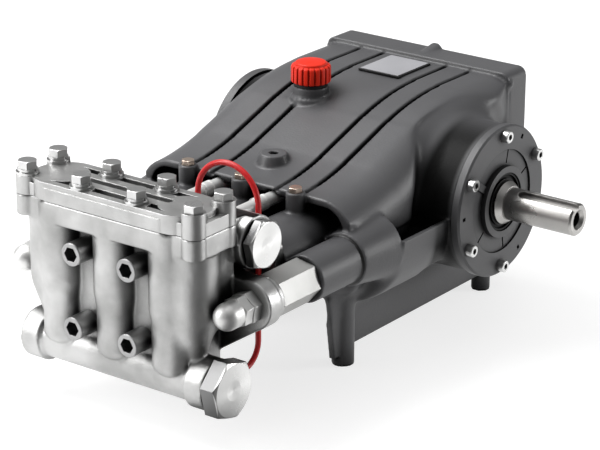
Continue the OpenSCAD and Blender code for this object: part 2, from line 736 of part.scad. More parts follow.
module valve_manifold() {
  color([0.72, 0.72, 0.71]) difference() {
    union() {
      translate([0, 0, part_z - man_flange_t]) linear_extrude(man_flange_t) lid_outline();
      slab(-92, 92, web_y, lid_rear_y, suc_z + 8, part_z - 2);
      for (x = [-pitch, 0, pitch]) valve_column(x);
      for (s = [-1, 1]) {
        side_swelling(s);
        along_x(suc_y, suc_z, s > 0 ? suc_x - 22 : -suc_x, s > 0 ? suc_x : -suc_x + 22, suc_boss_r);
        side_lug(s);
      }
      along_x(suc_y, suc_z, -suc_x, suc_x, suc_r);
      along_x(dis_y, dis_z, -dis_x, dis_x, dis_r);
      slab(-dis_x + 12, dis_x - 12, lid_rear_y - 5, dis_y, dis_z, part_z);
      slab(-92, 92, -345, -300, 95, dis_z);
      along_y(tube_out_x, tube_low_z - tube_low_r, suc_y + 8, fit_y, 8);
    }
    for (x = [-rod_x, rod_x]) for (z = [sock_up_z, sock_low_z]) along_y(x, z, man_y - 10, web_y, sock_r + 0.5);
    along_x(suc_y, suc_z, -suc_x - 1, -suc_x + port_depth, suc_port_r);
    along_x(dis_y, dis_z, -dis_x - 1, -dis_x + port_depth, dis_port_r);
    for (x = [-pitch, 0, pitch]) along_y(x, lug_z, lug_rear_y - 24, lug_rear_y + 16, gland_r + 0.1);
    for (x = [-rod_x, rod_x]) along_y(x, rod_z, rod_front_y, rod_front_y + 22, rod_r + 1);
  }
}

module valve_cover() {
  color([0.74, 0.74, 0.73]) difference() {
    union() {
      translate([0, 0, part_z]) linear_extrude(ledge_t) lid_outline();
      translate([0, 0, part_z]) linear_extrude(lid_t) {
        translate([-74, lid_mid_y - 33.7]) square([148, 67.4]);
        for (s = [-1, 1]) translate([s * 74, lid_mid_y]) circle(34);
      }
      for (y = [bolt_row_f, bolt_row_r]) {
        translate([-bolt_out_x, y, part_z]) cylinder(h = lid_t, r = corner_r);
        translate([bolt_out_x, y, part_z]) cylinder(h = lid_t + washer_t + spring_t, r = corner_r);
      }
    }
    translate([0, lid_mid_y, lid_top - 7]) linear_extrude(10) difference() {
      translate([-moat_x, -moat_r]) square([2 * moat_x, 2 * moat_r]);
      for (s = [-1, 1]) translate([s * moat_x, 0]) circle(moat_r);
      stadium(island_x, island_r);
      for (x = [-bolt_in_x, bolt_in_x]) for (y = [bolt_row_f, bolt_row_r]) translate([x, y - lid_mid_y])
        circle(bolt_boss_r);
    }
    translate([0, lid_mid_y, lid_top - 6]) linear_extrude(10) stadium(slot_x, slot_r);
  }
}

module bolt_places() {
  for (x = [-bolt_out_x, -bolt_in_x, bolt_in_x, bolt_out_x]) for (y = [bolt_row_f, bolt_row_r])
    translate([x, y, lid_top]) children();
}

module cover_bolts() {
  color([0.8, 0.8, 0.8]) bolt_places() translate([0, 0, washer_t + spring_t]) rotate([0, 0, 8])
    capped_hex(bolt_af, bolt_head_h);
}

// flat washer and split spring washer under each head, except on the tall bosses
module cover_washers() {
  color([0.75, 0.75, 0.75]) for (x = [-bolt_out_x, -bolt_in_x, bolt_in_x]) for (y = [bolt_row_f, bolt_row_r])
    translate([x, y, lid_top]) {
      cylinder(h = washer_t, r = bolt_af * 0.66);
      difference() {
        translate([0, 0, washer_t]) cylinder(h = spring_t, r = bolt_af * 0.56);
        translate([4, -0.8, washer_t + 0.4]) cube([12, 1.6, spring_t]);
      }
    }
}

module manifold_screws() {
  color([0.7, 0.7, 0.7]) for (x = [-rod_x, rod_x]) for (z = [sock_up_z, sock_low_z])
    translate([x, web_y, z]) rotate([90, 0, 0]) socket_head(sock_r, web_y - sock_front_y, 14);
}

// plug head with a chamfered and slightly dished outer face, along x
module plug_head(x0, y, z, af, h) {
  translate([x0, y, z]) rotate([0, 90, 0]) rotate([0, 0, 15]) difference() {
    capped_hex(af, h);
    translate([0, 0, h - 0.8]) cylinder(h = 2, r1 = 0.5, r2 = af / 2 - 2);
  }
}

module suction_plug() {
  color([0.8, 0.8, 0.8]) plug_head(suc_x + 2, suc_y, suc_z, suc_af, suc_head);
}

module discharge_plug() {
  color([0.8, 0.8, 0.8]) plug_head(dis_x + 2, dis_y, dis_z, dis_af, dis_head);
}

module plug_seals() {
  color([0.1, 0.1, 0.1]) {
    along_x(suc_y, suc_z, suc_x, suc_x + 2, suc_af / 2 - 3);
    along_x(dis_y, dis_z, dis_x, dis_x + 2, dis_af / 2 - 2);
  }
}

module lug_nuts() {
  color([0.75, 0.75, 0.75]) for (s = [-1, 1]) translate([s * lug_x, lug_front_y, lug_z]) rotate([90, 0, 0]) {
    rotate([0, 0, 20]) capped_hex(nut_af, 12);
    rotate([0, 0, 20]) translate([0, 0, 10]) capped_hex(nut_af - 2, 14);
    cylinder(h = lug_front_y - nut_tip_y - dome_r, r = dome_r);
    translate([0, 0, lug_front_y - nut_tip_y - dome_r]) sphere(dome_r);
  }
}

module lug_spacers() {
  color([0.8, 0.8, 0.8]) for (s = [-1, 1]) translate([s * lug_x, lug_rear_y, lug_z]) rotate([-90, 0, 0])
    rotate([0, 0, 10]) hex_head(spacer_af, guide_y - lug_rear_y);
}

module packing_block() {
  color([0.6, 0.6, 0.6]) difference() {
    union() {
      round_box_y(pitch + 34, block_low_z, block_top_z, guide_y - block_t, guide_y, 8);
      round_box_y(pitch + 9, block_low_z + 6, block_top_z - 6, guide_y - nose_l, guide_y - block_t + 1, 6);
      for (x = [-pitch, 0, pitch]) along_y(x, lug_z, lug_rear_y + 6, guide_y - 10, gland_r);
      translate([tube_x, tube_y, block_top_z - 12]) cylinder(h = 12, r = 9);
    }
    for (x = [-pitch, 0, pitch]) along_y(x, lug_z, lug_rear_y - 1, guide_y + 1, plunger_r + 0.1);
  }
}

// tie rods above the packing block, each with a grooved collar at its screwed end
module upper_rods() {
  color([0.75, 0.75, 0.75]) for (x = [-rod_x, rod_x]) difference() {
    union() {
      along_y(x, rod_z, rod_front_y, hood_y + pocket_depth, rod_r);
      along_y(x, rod_z, hood_y - 28, hood_y - 11, rod_r + 1.2);
    }
    for (y = [hood_y - 24.5, hood_y - 15]) translate([x, y, rod_z]) rotate([90, 0, 0])
      rotate_extrude() translate([rod_r + 1.5, 0]) circle(0.7, $fn = 16);
  }
}

module plungers() {
  color([0.9, 0.9, 0.88]) for (x = [-pitch, 0, pitch])
    along_y(x, lug_z, lug_rear_y + 2, guide_y + guide_depth - 4, plunger_r);
}

tube_out_x = pitch + tube_off;
tube_bend = (tube_out_x - tube_x) / 2;
fit_y = suc_y + 28;
tube_end_y = fit_y + 13;

// red tube: up, over in one half circle, down beside the packing block and forward to the suction tube
module leak_tube() {
  color([0.85, 0.1, 0.1]) {
    translate([tube_x, tube_y, block_top_z + 14]) tube_leg(tube_top - block_top_z - 14);
    translate([tube_x + tube_bend, tube_y, tube_top]) rotate([90, 0, 0]) tube_arc(tube_bend, 180);
    translate([tube_out_x, tube_y, tube_low_z]) tube_leg(tube_top - tube_low_z);
    translate([tube_out_x, tube_y - tube_low_r, tube_low_z]) rotate([90, 0, 90]) rotate([0, 0, -90])
      tube_arc(tube_low_r, 90);
    translate([tube_out_x, tube_end_y, tube_low_z - tube_low_r]) rotate([-90, 0, 0])
      tube_leg(tube_y - tube_low_r - tube_end_y);
  }
}

// straight stretch of tube along z, let into the bends at both ends
module tube_leg(h) {
  translate([0, 0, -1]) cylinder(h = h + 2, r = tube_r + 0.05, $fn = 24);
}

module tube_arc(bend, a) {
  rotate_extrude(angle = a) translate([bend, 0]) circle(tube_r, $fn = 24);
}

module tube_fittings() {
  color([0.75, 0.75, 0.75]) {
    translate([tube_x, tube_y, block_top_z]) capped_hex(12, 13);
    translate([tube_out_x, fit_y, tube_low_z - tube_low_r]) rotate([-90, 0, 0]) capped_hex(12, 12);
  }
}

crankcase();
rear_cover();
rear_cover_screws();
oil_sight_glass();
oil_drain_plug();
drive_bearing_cover();
blind_bearing_cover();
bearing_cover_screws();
shaft_oil_seal();
crankshaft();
filler_cap();
filler_gasket();
name_plate();
name_plate_base();
hood_bolts();
valve_manifold();
valve_cover();
cover_bolts();
cover_washers();
manifold_screws();
suction_plug();
discharge_plug();
plug_seals();
lug_nuts();
lug_spacers();
packing_block();
upper_rods();
plungers();
leak_tube();
tube_fittings();
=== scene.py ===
import math
import bpy
from mathutils import Matrix, Vector


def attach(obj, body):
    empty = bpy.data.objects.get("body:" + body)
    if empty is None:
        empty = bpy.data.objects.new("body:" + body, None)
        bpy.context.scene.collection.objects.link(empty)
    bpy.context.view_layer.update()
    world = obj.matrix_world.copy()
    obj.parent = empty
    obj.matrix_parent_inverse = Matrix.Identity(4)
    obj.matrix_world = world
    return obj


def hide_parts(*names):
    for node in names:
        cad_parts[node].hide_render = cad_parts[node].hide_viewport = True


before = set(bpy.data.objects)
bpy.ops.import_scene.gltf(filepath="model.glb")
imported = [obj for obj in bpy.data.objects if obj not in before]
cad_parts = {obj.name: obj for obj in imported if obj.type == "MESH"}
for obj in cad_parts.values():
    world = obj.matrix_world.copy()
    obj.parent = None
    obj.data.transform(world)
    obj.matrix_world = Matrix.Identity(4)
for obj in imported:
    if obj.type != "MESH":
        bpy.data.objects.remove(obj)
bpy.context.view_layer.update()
bpy.ops.object.select_all(action="DESELECT")


# Floor and studio
# The pump stands on a white sweep under three softboxes. A dark patch painted into the floor's
# reflections in front of it, a painted reflection that stands in for a dark flag, gives the metal and
# the paint something dark to mirror, and whatever looks past the object sees white.

FLOOR_SIZE = 9.0
FLOOR_DROP = 0.0004
FLOOR_WHITE = (0.42, 0.42, 0.42, 1.0)
FLOOR_GLOW = 0.74
WHITE = (1, 1, 1, 1)
DARK_REFLECTION_CENTRE = (-0.05, 0.35, 0.0)
DARK_REFLECTION_ROUND = ((0.0, 1.0), (0.29, 1.0), (0.36, 0.12), (0.53, 0.12), (0.59, 1.0), (1.0, 1.0))
SKY_RISE = ((0.0, 0.30), (0.10, 0.40), (0.32, 0.12), (0.62, 0.30), (1.0, 1.0))
SKY_REACH = 0.8
SKY_LEFT = 1.5
SKY_RIGHT = 0.5


def new_material(name):
    """A new material, its node tree and its shader."""
    material = bpy.data.materials.new(name)
    material.use_nodes = True
    return material, material.node_tree, material.node_tree.nodes["Principled BSDF"]


def reckon(tree, operation, *terms):
    """The result of one Math node, whose terms are numbers or outputs of other nodes."""
    step = tree.nodes.new("ShaderNodeMath")
    step.operation = operation
    for place, term in enumerate(terms):
        if isinstance(term, float):
            step.inputs[place].default_value = term
        else:
            tree.links.new(term, step.inputs[place])
    return step.outputs[0]


def grey_ramp(tree, factor, stops):
    """Greys along a factor from 0 to 1, as (place, level) pairs from end to end."""
    strip = tree.nodes.new("ShaderNodeValToRGB")
    tree.links.new(factor, strip.inputs["Fac"])
    for place, level in stops[1:-1]:
        strip.color_ramp.elements.new(place)
    for element, (place, level) in zip(strip.color_ramp.elements, stops):
        element.color = (level, level, level, 1)
    return strip.outputs["Color"]


bpy.ops.mesh.primitive_plane_add(size=FLOOR_SIZE, location=(0, 0, -FLOOR_DROP))
floor = bpy.context.active_object
floor.name = "floor"
floor_white, tree, shader = new_material("floor_white")
shader.inputs["Base Color"].default_value = FLOOR_WHITE
shader.inputs["Roughness"].default_value = 0.9
shader.inputs["Emission Color"].default_value = WHITE
# Painted reflection: glossy rays see a sector of floor in front of the pump dimmer, in colour and in glow.
spot = tree.nodes.new("ShaderNodeTexCoord")
centred = tree.nodes.new("ShaderNodeVectorMath")
centred.operation = "ADD"
centred.inputs[1].default_value = DARK_REFLECTION_CENTRE
tree.links.new(spot.outputs["Object"], centred.inputs[0])
compass = tree.nodes.new("ShaderNodeTexGradient")
compass.gradient_type = "RADIAL"
tree.links.new(centred.outputs["Vector"], compass.inputs["Vector"])
reflected_dark = grey_ramp(tree, compass.outputs["Fac"], DARK_REFLECTION_ROUND)
light_path = tree.nodes.new("ShaderNodeLightPath")
mirrored = reckon(tree, "MULTIPLY", light_path.outputs["Is Glossy Ray"], reflected_dark)
seen = reckon(tree, "MAXIMUM", light_path.outputs["Is Camera Ray"], mirrored)
tree.links.new(reckon(tree, "MULTIPLY", seen, FLOOR_GLOW), shader.inputs["Emission Strength"])
dimmed = tree.nodes.new("ShaderNodeVectorMath")
dimmed.operation = "MULTIPLY"
dimmed.inputs[1].default_value = FLOOR_WHITE[:3]
tree.links.new(reflected_dark, dimmed.inputs[0])
reflected_floor_tone = tree.nodes.new("ShaderNodeMix")
reflected_floor_tone.data_type = "RGBA"
reflected_floor_tone.inputs["A"].default_value = FLOOR_WHITE
tree.links.new(light_path.outputs["Is Glossy Ray"], reflected_floor_tone.inputs["Factor"])
tree.links.new(dimmed.outputs["Vector"], reflected_floor_tone.inputs["B"])
tree.links.new(reflected_floor_tone.outputs["Result"], shader.inputs["Base Color"])
floor.data.materials.append(floor_white)

world = bpy.data.worlds.new("studio")
bpy.context.scene.world = world
world.use_nodes = True
tree = world.node_tree
direction = tree.nodes.new("ShaderNodeTexCoord")
split = tree.nodes.new("ShaderNodeSeparateXYZ")
tree.links.new(direction.outputs["Generated"], split.inputs[0])
studio_light = tree.nodes["Background"]
tree.links.new(grey_ramp(tree, split.outputs["Z"], SKY_RISE), studio_light.inputs["Color"])
sides = tree.nodes.new("ShaderNodeMapRange")
sides.inputs["From Min"].default_value = -SKY_REACH
sides.inputs["From Max"].default_value = SKY_REACH
sides.inputs["To Min"].default_value = SKY_LEFT
sides.inputs["To Max"].default_value = SKY_RIGHT
tree.links.new(split.outputs["X"], sides.inputs["Value"])
tree.links.new(sides.outputs["Result"], studio_light.inputs["Strength"])
backdrop = tree.nodes.new("ShaderNodeBackground")
backdrop.inputs["Color"].default_value = WHITE
looked_at = tree.nodes.new("ShaderNodeLightPath")
either = tree.nodes.new("ShaderNodeMixShader")
tree.links.new(looked_at.outputs["Is Camera Ray"], either.inputs[0])
tree.links.new(studio_light.outputs[0], either.inputs[1])
tree.links.new(backdrop.outputs[0], either.inputs[2])
tree.links.new(either.outputs[0], tree.nodes["World Output"].inputs["Surface"])


def softbox(name, place, target, width, height, power):
    """A rectangular area lamp aimed at a point."""
    lamp = bpy.data.lights.new(name, "AREA")
    lamp.shape = "RECTANGLE"
    lamp.size = width
    lamp.size_y = height
    lamp.energy = power
    holder = bpy.data.objects.new(name, lamp)
    bpy.context.collection.objects.link(holder)
    holder.location = place
    holder.rotation_euler = (Vector(target) - Vector(place)).to_track_quat("-Z", "Y").to_euler()


softbox("softbox_top", (-0.9, -0.4, 1.75), (0, -0.1, 0.1), 1.4, 1.0, 31)
softbox("softbox_left", (-1.7, -1.9, 1.1), (0, -0.2, 0.15), 0.9, 1.2, 32)
softbox("softbox_right", (2.0, 1.5, 0.65), (0.1, 0, 0.15), 0.6, 0.9, 20)


# Camera
# Its place, turn and lens were solved by least squares from features that lie alike on both sides of
# the pump. The scale was set by the width of the keyed shaft end.

CAMERA_PLACE = Vector((1.5508, -2.1758, 1.0910))
CAMERA_AZIMUTH = math.radians(36.4612)
CAMERA_ELEVATION = math.radians(20.5027)
CAMERA_ROLL = math.radians(0.3813)
PHOTO_WIDTH = 600
FOCAL_PIXELS = 2600.7
SENSOR = 36.0

camera_data = bpy.data.cameras.new("camera")
camera = bpy.data.objects.new("camera", camera_data)
bpy.context.collection.objects.link(camera)
camera_data.sensor_width = SENSOR
camera_data.lens = FOCAL_PIXELS * SENSOR / PHOTO_WIDTH
camera_data.clip_end = 50
back = Vector((
    math.sin(CAMERA_AZIMUTH) * math.cos(CAMERA_ELEVATION),
    -math.cos(CAMERA_AZIMUTH) * math.cos(CAMERA_ELEVATION),
    math.sin(CAMERA_ELEVATION)))
level_right = Vector((math.cos(CAMERA_AZIMUTH), math.sin(CAMERA_AZIMUTH), 0))
level_up = back.cross(level_right)
right = level_right * math.cos(CAMERA_ROLL) + level_up * math.sin(CAMERA_ROLL)
up = level_up * math.cos(CAMERA_ROLL) - level_right * math.sin(CAMERA_ROLL)
placed = Matrix((right, up, back)).transposed().to_4x4()
placed.translation = CAMERA_PLACE
camera.matrix_world = placed
bpy.context.scene.camera = camera
bpy.context.scene.view_settings.view_transform = "Standard"


# Crankcase and its covers
# An aluminium sand casting, sprayed in dark satin paint, with turned covers in the same paint. The
# casting keeps its soft inner corners under the coat, and its hollows are given painted shade,
# darker in colour and in gleam.

PAINT = (0.076, 0.076, 0.080, 1)
PAINT_WORN = (0.090, 0.090, 0.094, 1)
COVER_PAINT = (0.072, 0.072, 0.075, 1)
COVER_WORN = (0.088, 0.088, 0.092, 1)
JOINT_BLACK = (0.012, 0.012, 0.012, 1)
RING_BLACK = (0.004, 0.004, 0.004, 1)
# Painted shadow colour for the pocket beside the drive side drum.
DRUM_SHADOW_BLACK = (0.006, 0.006, 0.006, 1)
CASTING_GRAIN = 0.0014
SKIN_LIMIT = 190000
DRUM_DEPTH = 0.011
GROOVE_DEPTH = 0.004
CASTING_JOINT_X = 0.1697
COVER_JOINT_X = 0.1700
SIDE_JOINT_HALF = 0.0006
AXIS_Y = 0.0397
AXIS_Z = 0.1486
FILLER_X = -0.037
FILLER_Y = -0.009
VENT_Y = -0.124
BOSS_X = 0.129
BOSS_Z = 0.137
BOSS_RING = 0.0260
BOSS_RING_HALF = 0.0010
BOSS_RING_BACK_Y = -0.120
GROOVES_X = (0.0421, 0.0734)
ROOT_MIDDLE = (0.086, -0.078, 0.102)
ROOT_SIZE = (0.042, 0.098, 0.040)


def painted_hollow_shade(nodes, link, reach, darkest, start, end):
    """Painted shade: ambient occlusion darkens the colour in inner corners and hollows, where light comes
    in thin.
    """
    inside = nodes.new("ShaderNodeAmbientOcclusion")
    inside.samples = 8
    inside.inputs["Distance"].default_value = reach
    shade = nodes.new("ShaderNodeValToRGB")
    shade.color_ramp.elements[0].position = start
    shade.color_ramp.elements[0].color = (darkest, darkest, darkest, 1)
    shade.color_ramp.elements[1].position = end
    shade.color_ramp.elements[1].color = (1, 1, 1, 1)
    link(inside.outputs["AO"], shade.inputs["Fac"])
    return shade.outputs["Color"]


def cloudy_tone(nodes, link, place, scale, detail, stops):
    """A slow drift between two tones. Gives back the noise, and the tone that follows it."""
    cloud = nodes.new("ShaderNodeTexNoise")
    cloud.inputs["Scale"].default_value = scale
    cloud.inputs["Detail"].default_value = detail
    link(place.outputs["Object"], cloud.inputs["Vector"])
    tone = nodes.new("ShaderNodeValToRGB")
    for element, (position, colour) in zip(tone.color_ramp.elements, stops):
        element.position = position
        element.color = colour
    link(cloud.outputs["Fac"], tone.inputs["Fac"])
    return cloud.outputs["Fac"], tone.outputs["Color"]


def darken(nodes, link, tone, shade, shader):
    """Multiplies a tone by the shade of the hollows, and gives it to the shader."""
    darker = nodes.new("ShaderNodeMix")
    darker.data_type = "RGBA"
    darker.blend_type = "MULTIPLY"
    darker.inputs["Factor"].default_value = 1.0
    link(tone, darker.inputs["A"])
    link(shade, darker.inputs["B"])
    link(darker.outputs["Result"], shader.inputs["Base Color"])


def fine_noise(nodes, link, place, scale, detail):
    """Noise for a bump."""
    noise = nodes.new("ShaderNodeTexNoise")
    noise.inputs["Scale"].default_value = scale
    noise.inputs["Detail"].default_value = detail
    link(place.outputs["Object"], noise.inputs["Vector"])
    return noise.outputs["Fac"]


def softened_edges(nodes, link, edge):
    """The normal of a surface whose edges are rounded by edge."""
    soft = nodes.new("ShaderNodeBevel")
    soft.samples = 6
    soft.inputs["Radius"].default_value = edge
    return soft.outputs["Normal"]


def raised(nodes, link, height, normal, strength, distance):
    """A bump over the surface that normal gives."""
    bump = nodes.new("ShaderNodeBump")
    bump.inputs["Strength"].default_value = strength
    bump.inputs["Distance"].default_value = distance
    link(height, bump.inputs["Height"])
    link(normal, bump.inputs["Normal"])
    return bump.outputs["Normal"]


def varied_gloss(nodes, link, cloud, low, high, shader):
    """Roughness that drifts with the cloud."""
    gloss = nodes.new("ShaderNodeMapRange")
    gloss.inputs["To Min"].default_value = low
    gloss.inputs["To Max"].default_value = high
    link(cloud, gloss.inputs["Value"])
    link(gloss.outputs["Result"], shader.inputs["Roughness"])


def paint_nodes(name, base, worn, roughness, grain, edge, reach=0.05, sheen=0.6):
    """Sprayed coat: cloudy tone, painted shade in the hollows, fine orange peel and softened edges."""
    material, tree, shader = new_material(name)
    nodes, link = tree.nodes, tree.links.new
    place = nodes.new("ShaderNodeTexCoord")
    cloud, tone = cloudy_tone(nodes, link, place, 14, 5, ((0.35, base), (0.72, worn)))
    # Painted shade: the hollows darken the base colour here and the gleam below.
    shade = painted_hollow_shade(nodes, link, reach, 0.04, 0.36, 0.90)
    darken(nodes, link, tone, shade, shader)
    shader.inputs["Specular IOR Level"].default_value = min(sheen, 0.5)
    link(reckon(tree, "MULTIPLY", shade, sheen), shader.inputs["Specular IOR Level"])
    varied_gloss(nodes, link, cloud, roughness - 0.06, roughness + 0.08, shader)
    peel = fine_noise(nodes, link, place, grain, 3)
    normal = raised(nodes, link, peel, softened_edges(nodes, link, edge), 0.35, 0.0005)
    link(normal, shader.inputs["Normal"])
    shader.inputs["IOR"].default_value = 1.5
    return material


def dress(node, material):
    """Puts one finish on every slot of a CAD node."""
    part = bpy.data.objects[node]
    if not part.material_slots:
        part.data.materials.append(material)
    for place in part.material_slots:
        place.material = material


def ramp(value, start, end):
    """0 at start, 1 at end, straight between."""
    return min(1.0, max(0.0, (value - start) / (end - start)))


def cast_skin(node, name, grain, rounds, limit, fillets, roots=()):
    """The casting as it leaves the mould: the node's form, with soft corners and large fillets let in."""
    source = bpy.data.objects[node]
    skin = source.copy()
    skin.data = source.data.copy()
    skin.name = name
    skin.data.name = name
    bpy.context.collection.objects.link(skin)
    skin.parent = None
    skin.matrix_world = source.matrix_world
    for key in list(skin.keys()):
        del skin[key]
    bpy.ops.object.select_all(action="DESELECT")
    skin.select_set(True)
    bpy.context.view_layer.objects.active = skin
    bpy.ops.object.mode_set(mode="EDIT")
    bpy.ops.mesh.select_all(action="SELECT")
    bpy.ops.mesh.remove_doubles(threshold=0.00001)
    for middle, size in roots:
        bpy.ops.mesh.select_all(action="DESELECT")
        bpy.ops.mesh.primitive_uv_sphere_add(segments=48, ring_count=24, radius=1, location=(0, 0, 0))
        bpy.ops.transform.resize(value=size)
        bpy.ops.transform.translate(value=middle)
    bpy.ops.object.mode_set(mode="OBJECT")
    remesh = skin.modifiers.new("mould", "REMESH")
    remesh.mode = "VOXEL"
    remesh.voxel_size = grain
    bpy.ops.object.modifier_apply(modifier="mould")
    for place, (reach, depth, axis, weigh) in enumerate(fillets):
        group = skin.vertex_groups.new(name="fillet_%d" % place)
        for corner in skin.data.vertices:
            amount = weigh(*corner.co)
            if amount > 0.01:
                group.add([corner.index], amount, "REPLACE")
        if depth:
            hollow = skin.modifiers.new("hollow", "DISPLACE")
            hollow.direction = axis
            hollow.mid_level = 0.0
            hollow.strength = -depth
            hollow.vertex_group = group.name
            bpy.ops.object.modifier_apply(modifier="hollow")
        if reach:
            fillet = skin.modifiers.new("fillet", "SMOOTH")
            fillet.factor = 0.5
            fillet.iterations = reach
            fillet.vertex_group = group.name
            bpy.ops.object.modifier_apply(modifier="fillet")
    soften = skin.modifiers.new("soften", "SMOOTH")
    soften.factor = 0.5
    soften.iterations = rounds
    bpy.ops.object.modifier_apply(modifier="soften")
    if len(skin.data.polygons) * 2 > limit:
        thin = skin.modifiers.new("thin", "DECIMATE")
        thin.ratio = limit / (len(skin.data.polygons) * 2)
        bpy.ops.object.modifier_apply(modifier="thin")
    bpy.ops.object.shade_smooth()
    skin.select_set(False)
    return skin


def from_axis(y, z):
    """Distance from the crankshaft's axis."""
    return math.hypot(y - AXIS_Y, z - AXIS_Z)


def from_groove(x):
    """Distance from the middle of the nearest groove in the top."""
    return min(abs(abs(x) - groove) for groove in GROOVES_X)


def drum_hollow(x, y, z):
    """The hollow the mould leaves between the wall and the drive side drum, deepest in front."""
    out = from_axis(y, z)
    ring = ramp(out, 0.0815, 0.087) * ramp(out, 0.110, 0.098)
    front = 0.45 + 0.55 * ramp(y, 0.06, -0.01)
    return ramp(x, 0.104, 0.116) * ramp(x, 0.146, 0.142) * ring * front


def around_drum(x, y, z):
    """Where the drive side drum grows out of the wall."""
    out = from_axis(y, z)
    ring = ramp(out, 0.072, 0.080) * ramp(out, 0.128, 0.112)
    rim = ramp(x, 0.150, 0.156) * ramp(y, -0.030, -0.036)
    return ramp(x, 0.100, 0.112) * ramp(x, 0.158, 0.150) * ring * (1 - rim)


def around_swelling(x, y, z):
    """Where the tie rod swellings and the side panels run into the body."""
    out = math.hypot(abs(x) - BOSS_X, z - BOSS_Z)
    swelling = ramp(out, 0.024, 0.030) * ramp(out, 0.062, 0.050)
    along = ramp(y, -0.168, -0.158) * ramp(y, -0.085, -0.105)
    shelf = ramp(abs(x), 0.130, 0.138) * ramp(y, -0.132, -0.126) * ramp(z, 0.108, 0.118)
    return swelling * along * ramp(abs(x), 0.085, 0.1) * (1 - shelf)


def over_top(x, y, z):
    """The open top between the grooves."""
    clear = ramp(from_groove(x), 0.0035, 0.006) * ramp(y, -0.166, -0.150) * ramp(y, 0.132, 0.122)
    filler = ramp(math.hypot(x - FILLER_X, y - FILLER_Y), 0.026, 0.034)
    vent = ramp(math.hypot(x, y - VENT_Y), 0.024, 0.030)
    return clear * filler * vent * ramp(z, 0.150, 0.165) * ramp(abs(x), 0.145, 0.135)


def under_swelling(x, y, z):
    """The root that carries each swelling down to the front foot."""
    inside = ramp(abs(x), 0.070, 0.080) * ramp(z, 0.125, 0.115) * ramp(z, 0.052, 0.060)
    return inside * ramp(y, -0.172, -0.160) * ramp(y, -0.080, -0.095)


def in_grooves(x, y, z):
    """The bottoms of the four grooves, behind the thin front of the hood."""
    filler = ramp(math.hypot(x - FILLER_X, y - FILLER_Y), 0.0210, 0.0230)
    along = ramp(y, -0.146, -0.138) * ramp(y, 0.137, 0.134)
    return filler * ramp(from_groove(x), 0.0026, 0.0018) * along * ramp(z, 0.18, 0.185)


def place_on(tree):
    """The outputs X, Y and Z of the place on the piece."""
    spot = tree.nodes.new("ShaderNodeTexCoord")
    split = tree.nodes.new("ShaderNodeSeparateXYZ")
    tree.links.new(spot.outputs["Object"], split.inputs[0])
    return split.outputs


def tint(material, colour, cover):
    """Lays a colour over the material's own wherever cover is 1."""
    tree = material.node_tree
    base = tree.nodes["Principled BSDF"].inputs["Base Color"]
    mix = tree.nodes.new("ShaderNodeMix")
    mix.data_type = "RGBA"
    mix.inputs["B"].default_value = colour
    tree.links.new(cover, mix.inputs["Factor"])
    tree.links.new(base.links[0].from_socket, mix.inputs["A"])
    tree.links.new(mix.outputs["Result"], base)


def joint_line(material, axis, place, half):
    """A thin dark joint where two castings meet, on the plane axis = place."""
    tree = material.node_tree
    tint(material, JOINT_BLACK, reckon(tree, "COMPARE", place_on(tree)[axis], place, half))


def ring_line(material):
    """A thin dark ring round each tie rod boss, where it stands out of the swelling."""
    tree = material.node_tree
    place = place_on(tree)
    side = reckon(tree, "SUBTRACT", reckon(tree, "ABSOLUTE", place["X"]), BOSS_X)
    height = reckon(tree, "SUBTRACT", place["Z"], BOSS_Z)
    squares = reckon(tree, "MULTIPLY_ADD", side, side, reckon(tree, "MULTIPLY", height, height))
    near = reckon(tree, "COMPARE", reckon(tree, "SQRT", squares), BOSS_RING, BOSS_RING_HALF)
    front = reckon(tree, "LESS_THAN", place["Y"], BOSS_RING_BACK_Y)
    tint(material, RING_BLACK, reckon(tree, "MULTIPLY", near, front))


def painted_drum_shadow(material):
    """Painted shadow: the pocket between drum and body is coloured near black and its gleam dulled."""
    tree = material.node_tree
    place = place_on(tree)
    offside = reckon(tree, "ABSOLUTE", place["X"])
    across = reckon(tree, "SUBTRACT", place["Y"], AXIS_Y)
    height = reckon(tree, "SUBTRACT", place["Z"], AXIS_Z)
    squares = reckon(tree, "MULTIPLY_ADD", across, across, reckon(tree, "MULTIPLY", height, height))
    radius = reckon(tree, "SQRT", squares)
    cover = 1.0
    for distance, start, end in (
            (offside, 0.122, 0.134), (offside, 0.172, 0.162),
            (place["Y"], 0.075, 0.0), (radius, 0.112, 0.100)):
        fade = tree.nodes.new("ShaderNodeMapRange")
        fade.interpolation_type = "SMOOTHSTEP"
        fade.inputs["From Min"].default_value = start
        fade.inputs["From Max"].default_value = end
        tree.links.new(distance, fade.inputs["Value"])
        cover = reckon(tree, "MULTIPLY", cover, fade.outputs["Result"])
    # Painted shadow: near black over the pocket beside the drum.
    tint(material, DRUM_SHADOW_BLACK, cover)
    # Painted shade: the gleam is dulled over the same pocket.
    gleam = tree.nodes["Principled BSDF"].inputs["Specular IOR Level"]
    duller = tree.nodes.new("ShaderNodeMapRange")
    duller.inputs["To Min"].default_value = 1.0
    duller.inputs["To Max"].default_value = 0.15
    tree.links.new(cover, duller.inputs["Value"])
    tree.links.new(reckon(tree, "MULTIPLY", gleam.links[0].from_socket, duller.outputs["Result"]), gleam)


casting_paint = paint_nodes("casting_paint", PAINT, PAINT_WORN, 0.42, 420, 0.0016)
joint_line(casting_paint, "X", CASTING_JOINT_X, SIDE_JOINT_HALF)
